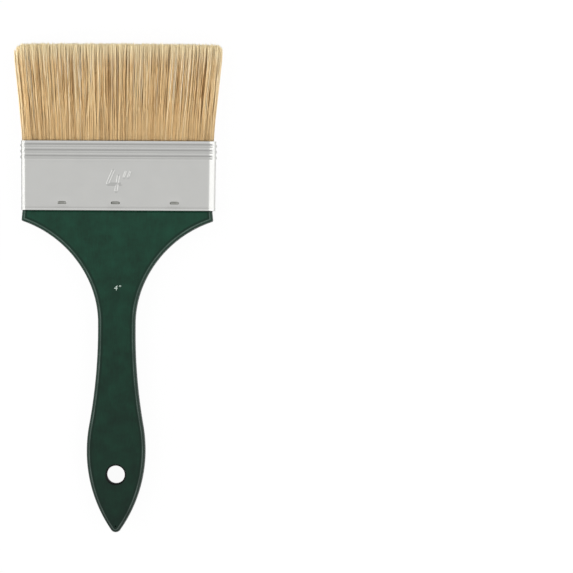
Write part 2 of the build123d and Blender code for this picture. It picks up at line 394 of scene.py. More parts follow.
# Rings along the right-hand edge, from the middle of the side to the flat face: where they lie in
# plan, how high, and how high the flat face is there.
def handleRings(outline, sideCount, earCount):
    form = handleForm
    tangent = np.gradient(outline, axis=0)
    tangent[-1] = (-1, 0)
    tangent /= np.linalg.norm(tangent, axis=1)[:, None]
    normal = np.stack([-tangent[:, 1], tangent[:, 0]], axis=1)
    halfThick = (handleHigh[2] - handleLow[2]) / 2
    fromRim = lowerRimY - outline[:, 1]
    faceHeight = halfThick - form["neckDown"] * (1 - smoothStep(fromRim, *form["neckDownEnds"]))
    leans = [lean for lean, radius, steps in form["edgeArcs"]] + [0]
    turns = [np.linspace(leans[i], leans[i + 1], arc[2] + 1)[1:] for i, arc in enumerate(form["edgeArcs"])]
    tilt = np.radians(np.concatenate([[90]] + turns))
    radius = np.concatenate([np.full(steps, radius) for lean, radius, steps in form["edgeArcs"]])
    inside = 1 - smoothStep(fromRim, *form["insideEnds"])[:, None]
    radius = radius + (form["insideRound"] - radius) * inside
    nothing = np.zeros((len(outline), 1))
    inset = np.hstack([nothing, np.cumsum(radius * -np.diff(np.sin(tilt)), axis=1)])
    drop = np.hstack([np.cumsum((radius * np.diff(np.cos(tilt)))[:, ::-1], axis=1)[:, ::-1], nothing])
    inset = np.hstack([inset] + [inset[:, -1:] + extra for extra in form["flatRings"]])
    drop = np.hstack([drop] + [drop[:, -1:]] * len(form["flatRings"]))
    height = faceHeight[:, None] - drop
    plan = outline[:, None, :] - normal[:, None, :] * inset[:, :, None]
    middle, onSide = sideCount + earCount // 2, sideCount - 3
    heading, outward = tangent[onSide], normal[onSide]
    for ring in range(inset.shape[1]):   # inside the ear the two sides meet in a mitre
        if inset[middle, ring] <= form["earRound"]:
            continue
        beyond = (plan[:, ring] - plan[onSide, ring]) @ outward
        after = np.arange(len(outline)) >= sideCount + earCount
        last = np.nonzero(after & (beyond > 0))[0].max(initial=sideCount + earCount - 1)
        share = beyond[last] / (beyond[last] - beyond[last + 1])
        mitre = plan[last, ring] + (plan[last + 1, ring] - plan[last, ring]) * share
        swallowed = np.zeros(len(outline), bool)
        swallowed[sideCount:last + 1] = True
        swallowed[:sideCount] = (plan[:sideCount, ring] - mitre) @ heading > 0
        plan[swallowed, ring] = mitre
        height[swallowed, ring] = height[middle, ring]
    return plan, height, faceHeight


# A grid from places in plan and heights above the board's middle.
def boardGrid(plan, up, mirror=1, flip=1):
    return np.dstack([plan[..., 0] * mirror, plan[..., 1], middleZ + up * flip])


def makeHandleMesh():
    form = handleForm
    outline, sideCount, earCount = handleOutline()
    outline[-1, 0] = 0
    plan, height, faceHeight = handleRings(outline, sideCount, earCount)
    halfThick = (handleHigh[2] - handleLow[2]) / 2
    grids = []
    for mirror in (1, -1):
        for flip in (1, -1):
            grids.append((boardGrid(plan, height, mirror, flip), False, None))
        wall = np.stack([height[:, 0], height[:, 0] * 0, -height[:, 0]], axis=1)
        edge = np.repeat(plan[:, :1], 3, axis=1)
        grids.append((boardGrid(edge, wall, mirror), False, None))

    # The flat faces, with a block left out round the hole and filled with rings.
    columns = np.linspace(-1, 1, form["faceColumns"] + 1)
    inner = plan[:, -1]
    face = np.stack([inner[:, :1] * columns, np.repeat(inner[:, 1:2], len(columns), axis=1)], axis=-1)
    holeRadius = hangHole["dims"]["r_mm"]
    hole = np.array([hangHole["pos_m"][0] / mm, hangHole["pos_m"][1] / mm])
    blockX, blockY = form["holeBlock"]
    rows = np.nonzero(np.abs(inner[:, 1] - hole[1]) < holeRadius + blockY)[0]
    top, bottom = rows[0], rows[-1]
    widest = np.abs(face[rows[len(rows) // 2], :, 0] - hole[0]) < holeRadius + blockX
    left, right = np.nonzero(widest)[0][[0, -1]]
    keep = np.ones((len(inner) - 1, len(columns) - 1), bool)
    keep[top:bottom, left:right] = False
    block = np.vstack([
        face[top, left:right], face[top:bottom, right],
        face[bottom, right:left:-1], face[bottom:top:-1, left],
    ])
    away = block - hole
    away /= np.linalg.norm(away, axis=1)[:, None]
    rimRadius = holeRadius + form["holeRim"]
    rings = [block + (hole + away * rimRadius - block) * share for share in form["holeRings"]]
    levels = [halfThick] * len(rings)   # the hole is far below the cut-back
    for angle in np.linspace(0, math.pi / 2, form["holeRimSteps"] + 1)[1:]:
        rings.append(hole + away * (rimRadius - form["holeRim"] * math.sin(angle)))
        levels.append(halfThick - form["holeRim"] * (1 - math.cos(angle)))
    rings = np.array(rings)
    flat = np.repeat(faceHeight[:, None], face.shape[1], axis=1)
    ringHeight = np.repeat(np.array(levels)[:, None], rings.shape[1], axis=1)
    for flip in (1, -1):
        grids.append((boardGrid(face, flat, 1, flip), False, keep))
        grids.append((boardGrid(rings, ringHeight, 1, flip), True, None))
    boreLevels = np.linspace(levels[-1], -levels[-1], form["boreSteps"] + 1)
    bore = np.repeat(rings[-1:], len(boreLevels), axis=0)
    grids.append((boardGrid(bore, np.repeat(boreLevels[:, None], rings.shape[1], axis=1)), True, None))
    mesh = weldGrids("handleBoard", grids, 50)

    # How far each point lies inside the outline, for the paint.
    x, y = meshPoints(mesh)[:, :2].T / mm
    nearest = np.full(len(x), 99.0)
    for start, end in zip(outline[:-1], outline[1:]):
        nearest = np.minimum(nearest, strokeDistance(np.abs(x), y, *start, *end))
    addValues(mesh, "fromEdge", nearest)
    return mesh


# Beech, sprayed with a satin cellulose lacquer: a dark green with a faint orange-peel skin and the wood's
# flecks just showing, painted darker towards the tip as shade. A painted highlight runs pale along the arris,
# and painted shade lies dark just inside it, on the rounded sides and round the mouth of the hole.
def lacqueredBeech():
    look = {
        # head and tip: the green, painted darker towards the tip as shade for light that falls off along the
        # handle.
        "head": ("#0c2c1f", "#113c2c"), "tip": ("#051a12", "#08261a"), "side": "#07170f", "arris": "#646c69",
        "thick": "#041a11", "holePaintedShade": "#010302", "roughness": 0.36,
        "mottleSize": 8.0, "fleckWidth": 0.35, "fleckLength": 4.0, "peelSize": 1.1,   # mm
        # Along the edge, painted shade on the rounded side and in a line just inside the arris, and a painted
        # highlight on the arris: mm from it, half as wide, and how far the colour turns.
        "bands": (("side", 0.0, 0.95, 0.8), ("thick", 2.45, 0.5, 0.75), ("arris", 1.55, 0.28, 0.53)),
        "bandReach": 5.0,   # mm from the edge, past all bands
        # Round the hole, painted shade: mm from it where the dark starts to fade and where it ends, and how
        # dark.
        "holeShadeBand": (0.6, 1.1, 0.95),
    }
    material, tree = startMaterial("lacqueredBeech")
    place = addNode(tree, "ShaderNodeTexCoord")
    mottle = addNode(tree, "ShaderNodeTexNoise", {
        "Vector": place.outputs["Object"], "Scale": 1 / (look["mottleSize"] * mm), "Detail": 5.0,
        "Roughness": 0.6})
    stretched = addNode(tree, "ShaderNodeMapping", {
        "Vector": place.outputs["Object"],
        "Scale": scaleFor(look["fleckWidth"], look["fleckLength"], look["fleckWidth"])})
    flecks = addNode(tree, "ShaderNodeTexNoise", {
        "Vector": stretched.outputs[0], "Scale": 1.0, "Detail": 3.0})
    tone = addNode(tree, "ShaderNodeMix", {
        0: 0.3, 2: mottle.outputs[0], 3: flecks.outputs[0]}, data_type="FLOAT")
    parts = addNode(tree, "ShaderNodeSeparateXYZ", {0: place.outputs["Object"]})
    ends = []
    for dark, light in (look["head"], look["tip"]):
        ends.append(addNode(tree, "ShaderNodeValToRGB", {0: tone.outputs[0]}, stops=[
            (0.35, linearColour(dark)), (0.65, linearColour(light))]))
    # Painted shade: the colour darkens towards the tip.
    paintedShadeToTip = addNode(tree, "ShaderNodeMapRange", {
        0: parts.outputs["Y"], 1: lowerRimY * mm, 2: handleLow[1] * mm})
    colour = addNode(tree, "ShaderNodeMix", {
        0: paintedShadeToTip.outputs[0], 6: ends[0].outputs[0], 7: ends[1].outputs[0]}, data_type="RGBA")
    edge = addNode(tree, "ShaderNodeAttribute", attribute_name="fromEdge")
    fromEdge = addNode(tree, "ShaderNodeMath", {
        0: edge.outputs["Fac"], 1: look["bandReach"]}, operation="DIVIDE")
    patchy = addNode(tree, "ShaderNodeMapRange", {0: mottle.outputs[0], 1: 0.35, 2: 0.65, 3: 0.45, 4: 1.0})
    # Painted shade on the rounded side and just inside the arris, and a painted highlight along the arris.
    for name, at, half, strength in look["bands"]:
        stops = []
        for offset, level in ((-1.3, 0), (-0.6, strength), (0.6, strength), (1.3, 0)):
            distance = at + offset * half
            if distance > 0 or level:
                stops.append((max(distance, 0) / look["bandReach"], (level, level, level, 1)))
        band = addNode(tree, "ShaderNodeValToRGB", {0: fromEdge.outputs[0]}, stops=stops)
        share = addNode(tree, "ShaderNodeMath", {
            0: band.outputs[0], 1: patchy.outputs[0]}, operation="MULTIPLY")
        colour = addNode(tree, "ShaderNodeMix", {
            0: share.outputs[0], 6: colour.outputs[2], 7: linearColour(look[name])}, data_type="RGBA")
    # Painted shade round the mouth of the hole.
    holeX, holeY = hangHole["pos_m"][:2]
    fromHole = addNode(tree, "ShaderNodeMapping", {
        "Vector": place.outputs["Object"], "Location": (-holeX, -holeY, 0), "Scale": (1, 1, 0)})
    fromHole = addNode(tree, "ShaderNodeVectorMath", {0: fromHole.outputs[0]}, operation="LENGTH")
    fades, ended, strength = look["holeShadeBand"]
    share = addNode(tree, "ShaderNodeMapRange", {
        0: fromHole.outputs["Value"], 1: (hangHole["dims"]["r_mm"] + fades) * mm,
        2: (hangHole["dims"]["r_mm"] + ended) * mm, 3: strength, 4: 0.0})
    colour = addNode(tree, "ShaderNodeMix", {
        0: share.outputs[0], 6: colour.outputs[2], 7: linearColour(look["holePaintedShade"])}, data_type="RGBA")
    sheen = addNode(tree, "ShaderNodeMapRange", {
        0: mottle.outputs[0], 1: 0.3, 2: 0.7, 3: look["roughness"] - 0.04, 4: look["roughness"] + 0.04})
    peel = addNode(tree, "ShaderNodeTexNoise", {
        "Vector": place.outputs["Object"], "Scale": 1 / (look["peelSize"] * mm), "Detail": 2.0})
    relief = addNode(tree, "ShaderNodeMix", {
        0: 0.35, 2: peel.outputs[0], 3: flecks.outputs[0]}, data_type="FLOAT")
    bump = addNode(tree, "ShaderNodeBump", {
        "Strength": 0.25, "Distance": 0.05 * mm, "Height": relief.outputs[0]})
    paint = addNode(tree, "ShaderNodeBsdfPrincipled", {
        "Base Color": colour.outputs[2], "Roughness": sheen.outputs[0], "IOR": 1.36,
        "Normal": bump.outputs[0]})
    addNode(tree, "ShaderNodeOutputMaterial", {"Surface": paint.outputs[0]})
    return material


# The size, printed on the handle.
printForm = {
    "text": "4\"",
    "height": 2.6, "below": 40.5, "right": 0.5,   # mm, below the ferrule and right of the middle
    "heightShare": 0.7,   # how high a figure is in its font
    "slant": 0.15, "spread": 1.22,
    "ink": 0.02,   # mm that it stands out
}


# White pad-printing ink, matt and a little thin, so the green dulls it in specks.
def printedInk():
    look = {"white": "#bfcdc4", "thin": "#8fa097", "speckSize": 0.25}
    material, tree = startMaterial("padPrintedInk")
    place = addNode(tree, "ShaderNodeTexCoord")
    speck = addNode(tree, "ShaderNodeTexNoise", {
        "Vector": place.outputs["Object"], "Scale": 1 / (look["speckSize"] * mm), "Detail": 3.0})
    colour = addNode(tree, "ShaderNodeValToRGB", {0: speck.outputs[0]}, stops=[
        (0.35, linearColour(look["thin"])), (0.55, linearColour(look["white"]))])
    ink = addNode(tree, "ShaderNodeBsdfPrincipled", {"Base Color": colour.outputs[0], "Roughness": 0.55})
    addNode(tree, "ShaderNodeOutputMaterial", {"Surface": ink.outputs[0]})
    return material


def makePrint():
    form = printForm
    letters = bpy.data.curves.new("sizePrint", "FONT")
    letters.body = form["text"]
    letters.size = form["height"] * mm / form["heightShare"]
    letters.shear = form["slant"]
    letters.space_character = form["spread"]
    letters.extrude = form["ink"] * mm
    letters.align_x, letters.align_y = "CENTER", "CENTER"
    carrier = bpy.data.objects.new("letters", letters)
    bpy.context.scene.collection.objects.link(carrier)
    bpy.context.view_layer.update()
    mesh = bpy.data.meshes.new_from_object(carrier.evaluated_get(bpy.context.evaluated_depsgraph_get()))
    bpy.data.objects.remove(carrier)
    spots = meshPoints(mesh)
    spots -= (spots.max(0) + spots.min(0)) / 2
    spots += np.array([form["right"], lowerRimY - form["below"], handleHigh[2]]) * mm
    mesh.vertices.foreach_set("co", spots.astype(np.float32).ravel())
    mesh.materials.clear()
    work = bmesh.new()
    work.from_mesh(mesh)
    bmesh.ops.remove_doubles(work, verts=work.verts, dist=welding["sliver"] * mm)
    bmesh.ops.recalc_face_normals(work, faces=work.faces)
    work.to_mesh(mesh)
    work.free()
    addPiece("sizePrint", mesh, printedInk())


# Ferrule: a tin-plated steel strip, beaded, stamped and stapled.
ferruleForm = {   # mm
    "thick": 10.0, "sheet": 0.4, "narrowing": 0.35, "lip": 0.2, "lipReach": 0.3,
    "wider": 0.45, "sideways": 0.45,   # it sits a little off the brush's middle
    "mouthFlare": 0.13, "flareReach": 1.2, "rimSwell": 0.11, "rimSwellAt": 1.0,
    "beadFirst": 2.52, "beadPitch": 3.05, "beadCount": 3, "beadWidth": 2.5, "beadRise": 0.5,
    "valley": (0.04, 1.7, 0.6),   # below the last bead: how deep, how far below it, and half as wide
    "seamWidth": 0.16, "seamDepth": 0.3,
    "sideShadeAmounts": (1.0, 0.5),   # painted shade on the narrow sides at -x and +x, for their dark reflection: how dark
    "sideShadeReach": (0.7, 0.45),   # inside the side, where that painted shade starts and where it is full
    "stapleUp": 4.0, "stapleX": (-28.95, -0.95, 29.95),
    "slotLength": 4.6, "slotWidth": 1.24, "slotDepth": 0.6,
    "slotEdge": (-0.16, 0.2),   # across the slot's edge, where it goes down
    "cutEdgeAndShade": (-0.1, 0.15), "cutSunk": (0.12, 0.4),   # across it and down, where the bare dark edge and painted shade set in
    "slotShade": (0.05, 0.8, 0.3),   # how dark the painted shade inside each slot is
    "haloDepth": 0.13, "haloReach": 2.0,   # the dent round a slot
    "shallowDent": 0.3,   # a dent no deeper doesn't show on the inside
    "stampDepth": 0.21, "stampLine": 0.36,
    # Strokes of the stamped size, pressed in as outlines: x and distance below the mouth at both
    # ends, and half width.
    "stamp": [
        (-2.0, 15.7, -4.9, 22.4, 0.62), (-4.9, 22.6, 1.9, 22.6, 0.5), (0.75, 18.5, -0.5, 26.2, 0.62),
        (4.7, 15.9, 3.5, 19.1, 0.36), (7.0, 15.9, 5.8, 19.1, 0.36),
    ],
    # Steps of the mesh: plain ones, then fine ones with the mm past a slot or the x they reach.
    "frontStep": 2.6, "backStep": 3.2, "outerStep": 2.0, "innerStep": 4.0,
    "slotColumns": (0.4, 0.25), "haloColumns": (1.2, 0.6), "stampColumns": (-6.2, 8.1, 0.15),
    "turnPoints": 23,
    "seamPoints": (-3, -1.6, -1, -0.5, 0, 0.5, 1, 1.6, 3),   # in half widths of the seam
}
stapleX = ferruleForm["stapleX"]
stapleY = lowerRimY + ferruleForm["stapleUp"]
lastBeadY = mouthY - ferruleForm["beadFirst"] - (ferruleForm["beadCount"] - 1) * ferruleForm["beadPitch"]


# How far points lie outside the slot round a staple.
def slotDistance(x, y, slotX):
    form = ferruleForm
    reach = (form["slotLength"] - form["slotWidth"]) / 2
    return strokeDistance(x, y, slotX - reach, stapleY, slotX + reach, stapleY) - form["slotWidth"] / 2


# Half width of the plain sleeve at these heights.
def sleeveHalf(y):
    form = ferruleForm
    widest = ferruleHigh[0] - form["beadRise"] + form["wider"]
    return widest - form["narrowing"] * (mouthY - y) / (mouthY - lowerRimY)


# How far the sheet's outer face stands out of the plain sleeve. side is 1 on the front, -1 on
# the back and 0 on the rounded sides.
def sheetRelief(x, y, side):
    form = ferruleForm
    relief = np.zeros(np.broadcast(x, y).shape)
    for number in range(form["beadCount"]):
        offset = (y - (mouthY - form["beadFirst"] - number * form["beadPitch"])) / (form["beadWidth"] / 2)
        bead = np.where(np.abs(offset) < 1, 0.5 + 0.5 * np.cos(math.pi * offset), 0)
        relief = relief + form["beadRise"] * bead
    depth, below, half = form["valley"]
    relief = relief - depth * np.exp(-((y - lastBeadY + below) / half) ** 2)
    swell = np.clip((y - lowerRimY) / form["rimSwellAt"] - 1, -1, 1)
    relief = relief + form["rimSwell"] * (0.5 + 0.5 * np.cos(math.pi * swell))
    relief = relief + form["mouthFlare"] * np.clip(1 - (mouthY - y) / form["flareReach"], 0, 1) ** 1.4
    for rim in (lowerRimY, mouthY):
        near = np.clip(1 - np.abs(y - rim) / form["lipReach"], 0, 1)
        relief = relief - form["lip"] * (1 - np.sqrt(1 - near**2))
    for slotX in stapleX:
        edge = slotDistance(x, y, slotX)
        pressed = form["slotDepth"] * smoothStep(-edge, *form["slotEdge"])
        halo = form["haloDepth"] * np.exp(-(np.clip(edge, 0, None) / form["haloReach"]) ** 2)
        relief = relief - np.maximum(pressed, halo) * (side != 0)
    edge = np.full(relief.shape, 99.0)
    for startX, startDown, endX, endDown, half in form["stamp"]:
        stroke = strokeDistance(x, y, startX, mouthY - startDown, endX, mouthY - endDown) - half
        edge = np.minimum(edge, stroke)
    groove = 0.5 + 0.5 * np.cos(math.pi * np.clip(edge / form["stampLine"], -1, 1))
    return relief - form["stampDepth"] * groove * (side > 0)


# Places from first to last, close together inside the fine zones and wide apart elsewhere.
def spacedPlaces(first, last, wide, zones):
    places, here = [first], first
    while here < last - 1e-6:
        step = wide
        for low, high, fine in zones:
            if low - 1e-6 <= here < high - 1e-6:
                step = min(step, fine)
            elif here < low:
                step = min(step, low - here)
        here = min(here + max(step, 0.02), last)
        places.append(here)
    return np.array(places)


# The columns of the mesh, once round the sleeve: how far along the straight part, which way is
# out, which side, and whether in the seam.
def ferruleColumns():
    form = ferruleForm
    radius = form["thick"] / 2
    straight = ferruleHigh[0] - form["beadRise"] - radius
    half = form["slotLength"] / 2
    (slotPast, slotStep), (haloPast, haloStep) = form["slotColumns"], form["haloColumns"]
    slots = [(x - half - slotPast, x + half + slotPast, slotStep) for x in stapleX]
    halos = [(low - haloPast, high + haloPast, haloStep) for low, high, fine in slots]
    front = spacedPlaces(-straight, straight, form["frontStep"], slots + halos + [form["stampColumns"]])
    back = spacedPlaces(-straight, straight, form["backStep"], slots + halos)[::-1]
    seam = form["seamWidth"] / radius / 2
    right = np.linspace(math.pi / 2, -math.pi / 2, form["turnPoints"])[1:-1]
    left = np.linspace(math.pi / 2, 3 * math.pi / 2, form["turnPoints"])
    left = np.unique(np.concatenate([left, math.pi + seam * np.array(form["seamPoints"])]))[-2:0:-1]
    share = np.concatenate([front / straight, right * 0 + 1, back / straight, left * 0 - 1])
    outX = np.concatenate([front * 0, np.cos(right), back * 0, np.cos(left)])
    outZ = np.concatenate([front * 0 + 1, np.sin(right), back * 0 - 1, np.sin(left)])
    side = np.concatenate([front * 0 + 1, right * 0, back * 0 - 1, left * 0])
    inSeam = np.concatenate([front * 0, right * 0, back * 0, np.abs(left - math.pi) < seam * 0.8])
    return share, outX, outZ, side, inSeam


def makeFerruleMesh():
    form = ferruleForm
    radius = form["thick"] / 2
    share, outX, outZ, side, inSeam = ferruleColumns()
    beadsFrom = lastBeadY - 1.2   # the foot of the last bead
    rims = [(lowerRimY, lowerRimY + 0.3, 0.04), (mouthY - 0.3, mouthY, 0.04)]
    outerRows = spacedPlaces(lowerRimY, mouthY, form["outerStep"], rims + [
        (lowerRimY + 0.3, lowerRimY + 1.3, 0.14),   # the swelling above the lower rim
        (stapleY - 1.2, stapleY + 1.2, 0.13),   # the slots
        (stapleY - 2.6, stapleY + 2.6, 0.4),   # the dents round them
        (mouthY - 27.4, mouthY - 14.7, 0.15),   # the stamp
        (beadsFrom - 2.2, beadsFrom, 0.3),   # the valley
        (beadsFrom, mouthY, 0.15),   # the beads
        (mouthY - 0.7, mouthY - 0.3, 0.1),   # the flare at the mouth
    ])
    innerRows = spacedPlaces(lowerRimY, mouthY, form["innerStep"], rims + [
        (stapleY - 1.3, stapleY + 1.3, 0.26), (beadsFrom, mouthY, 0.45)])

    def surface(rows, sheetDepth):
        y = rows[:, None]
        x = share * (sleeveHalf(y) - radius) + form["sideways"] * outX**2
        relief = sheetRelief(x, y, side)
        fromRim = np.minimum(y - lowerRimY, mouthY - y)
        if sheetDepth:
            relief = np.where(fromRim < form["lipReach"], 0, relief)
            relief = np.clip(relief, -form["slotDepth"], form["beadRise"]) - sheetDepth
            shallow = (relief > -form["sheet"] - form["shallowDent"]) & (relief < -form["sheet"])
            relief = np.where(shallow, -form["sheet"], relief)
        else:
            # The seam runs out shallow at the rims, where the sheet is already turned in.
            relief = relief - form["seamDepth"] * inSeam * np.clip(fromRim / form["lipReach"], 0.3, 1)
        out = radius + relief
        return np.dstack([x + outX * out, np.repeat(y, len(share), axis=1), middleZ + outZ * out])

    outer, inner = surface(outerRows, 0), surface(innerRows, form["sheet"])
    ends = [(np.stack([outer[row], inner[row]]), True, None) for row in (0, -1)]
    mesh = weldGrids("ferruleSleeve", [(outer, True, None), (inner, True, None)] + ends, 42)

    # The slots' cut edges are bare and dark, and painted shade lies inside the slots, darker in some than
    # others.
    x, y, z = meshPoints(mesh).T / mm
    sunk = radius - np.abs(z - middleZ)
    slotCutAndShade = np.zeros(len(x))
    for slotX, shade in zip(stapleX, form["slotShade"]):
        cut = smoothStep(-slotDistance(x, y, slotX), *form["cutEdgeAndShade"])
        slotCutAndShade = np.maximum(slotCutAndShade, shade * cut * smoothStep(sunk, *form["cutSunk"]))
    addValues(mesh, "slotCutAndShade", slotCutAndShade)
    # Painted shade on the narrow sides, where the strip is bent round, for the dark reflection there, more on
    # one side than the other.
    starts, full = form["sideShadeReach"]
    sidePaintedShade = smoothStep(np.abs(x - form["sideways"]), sleeveHalf(y) - starts, sleeveHalf(y) - full)
    sidePaintedShade *= np.where(x > 0, form["sideShadeAmounts"][1], form["sideShadeAmounts"][0])
    addValues(mesh, "sidePaintedShade", sidePaintedShade)
    return mesh


# Steel strip, rolled and electro-plated with tin: a soft silvery grey that gives blurred reflections, with
# painted shade on its narrow sides and faint rolling lines along the strip. The lines are drawn coarser than
# real ones, which would be too fine to show.
def tinPlatedSteel():
    look = {
        "tin": "#f3f3f0", "dullTin": "#eeeeeb", "narrowSideShade": "#929290", "cutEdgeAndShade": "#1d1b18", "roughness": 0.21,
        "lineWidth": 0.16, "lineLength": 40.0, "cloudSize": 9.0,   # mm
    }
    material, tree = startMaterial("tinPlatedSteel")
    place = addNode(tree, "ShaderNodeTexCoord")
    stretched = addNode(tree, "ShaderNodeMapping", {
        "Vector": place.outputs["Object"],
        "Scale": scaleFor(look["lineLength"], look["lineWidth"], look["lineLength"])})
    lines = addNode(tree, "ShaderNodeTexNoise", {
        "Vector": stretched.outputs[0], "Scale": 1.0, "Detail": 4.0, "Roughness": 0.65})
    clouds = addNode(tree, "ShaderNodeTexNoise", {
        "Vector": place.outputs["Object"], "Scale": 1 / (look["cloudSize"] * mm), "Detail": 4.0})
    tone = addNode(tree, "ShaderNodeMix", {
        0: 0.5, 2: lines.outputs[0], 3: clouds.outputs[0]}, data_type="FLOAT")
    colour = addNode(tree, "ShaderNodeValToRGB", {0: tone.outputs[0]}, stops=[
        (0.3, linearColour(look["dullTin"])), (0.7, linearColour(look["tin"]))])
    sheen = addNode(tree, "ShaderNodeMapRange", {
        0: tone.outputs[0], 1: 0.3, 2: 0.7, 3: look["roughness"] + 0.04, 4: look["roughness"] - 0.04})
    bump = addNode(tree, "ShaderNodeBump", {
        "Strength": 0.05, "Distance": 0.02 * mm, "Height": lines.outputs[0]})
    slotCutAndShade = addNode(tree, "ShaderNodeAttribute", attribute_name="slotCutAndShade")
    sidePaintedShade = addNode(tree, "ShaderNodeAttribute", attribute_name="sidePaintedShade")
    # Painted shade on the narrow sides.
    plated = addNode(tree, "ShaderNodeMix", {
        0: sidePaintedShade.outputs["Fac"], 6: colour.outputs[0], 7: linearColour(look["narrowSideShade"])}, data_type="RGBA")
    # Bare cut edges with painted shade inside the slots.
    plated = addNode(tree, "ShaderNodeMix", {
        0: slotCutAndShade.outputs["Fac"], 6: plated.outputs[2], 7: linearColour(look["cutEdgeAndShade"])}, data_type="RGBA")
    metal = addNode(tree, "ShaderNodeBsdfPrincipled", {
        "Base Color": plated.outputs[2], "Metallic": 1.0, "Roughness": sheen.outputs[0],
        "Normal": bump.outputs[0]})
    addNode(tree, "ShaderNodeOutputMaterial", {"Surface": metal.outputs[0]})
    return material


# Staples: flat wire, driven through the ferrule into the wood.
stapleForm = {"crown": 3.9, "wide": 1.1, "thick": 0.5, "bend": 0.75, "edge": 0.14}   # mm


def makeStaples(name, node, side):
    form = stapleForm
    low, high = nodeBox(node)
    crownZ, legZ = (high[2], low[2]) if side > 0 else (low[2], high[2])
    half = form["crown"] / 2 - form["thick"] / 2
    middle = crownZ - side * form["thick"] / 2
    bendRadius = form["bend"] - form["thick"] / 2
    path = [(-half, legZ), (-half, (legZ + middle) / 2)]
    normal = [(-1, 0), (-1, 0)]
    for angle in np.linspace(0, math.pi / 2, 7):
        inwards, down = bendRadius * (1 - math.cos(angle)), bendRadius * (1 - math.sin(angle))
        path.append((-half + inwards, middle - side * down))
        normal.append((-math.cos(angle), side * math.sin(angle)))
    path += [(-x, z) for x, z in path[::-1]]
    normal += [(-x, z) for x, z in normal[::-1]]
    path, normal = np.array(path), np.array(normal)
    corner = np.linspace(0, math.pi / 2, 4)
    section = []
    for signY, signN, start in ((1, 1, 0), (-1, 1, 1), (-1, -1, 2), (1, -1, 3)):
        for angle in corner + start * math.pi / 2:
            section.append((
                signY * (form["wide"] / 2 - form["edge"]) + form["edge"] * math.cos(angle),
                signN * (form["thick"] / 2 - form["edge"]) + form["edge"] * math.sin(angle)))
    section = np.array(section)
    across = path[:, None] + normal[:, None] * section[None, :, 1:2]
    alongY = np.repeat(stapleY + section[None, :, 0], len(path), axis=0)
    grids = [(np.dstack([x + across[..., 0], alongY, across[..., 1]]), True, None) for x in stapleX]
    mesh = weldGrids(name, grids, 50)
    addPiece(name, mesh, drawnWire(), [node])


# Drawn steel wire, rolled flat and galvanised: duller and darker than the ferrule.
def drawnWire():
    if "galvanisedWire" in bpy.data.materials:
        return bpy.data.materials["galvanisedWire"]
    look = {"zinc": "#c8c9c3", "dull": "#a5a69f", "roughness": 0.38, "lineWidth": 0.12, "lineLength": 3.0}
    material, tree = startMaterial("galvanisedWire")
    place = addNode(tree, "ShaderNodeTexCoord")
    stretched = addNode(tree, "ShaderNodeMapping", {
        "Vector": place.outputs["Object"],
        "Scale": scaleFor(look["lineLength"], look["lineWidth"], look["lineLength"])})
    drawn = addNode(tree, "ShaderNodeTexNoise", {"Vector": stretched.outputs[0], "Scale": 1.0, "Detail": 3.0})
    colour = addNode(tree, "ShaderNodeValToRGB", {0: drawn.outputs[0]}, stops=[
        (0.35, linearColour(look["dull"])), (0.65, linearColour(look["zinc"]))])
    sheen = addNode(tree, "ShaderNodeMapRange", {
        0: drawn.outputs[0], 1: 0.3, 2: 0.7, 3: look["roughness"] + 0.06, 4: look["roughness"] - 0.06})
    metal = addNode(tree, "ShaderNodeBsdfPrincipled", {
        "Base Color": colour.outputs[0], "Metallic": 1.0, "Roughness": sheen.outputs[0]})
    addNode(tree, "ShaderNodeOutputMaterial", {"Surface": metal.outputs[0]})
    return material


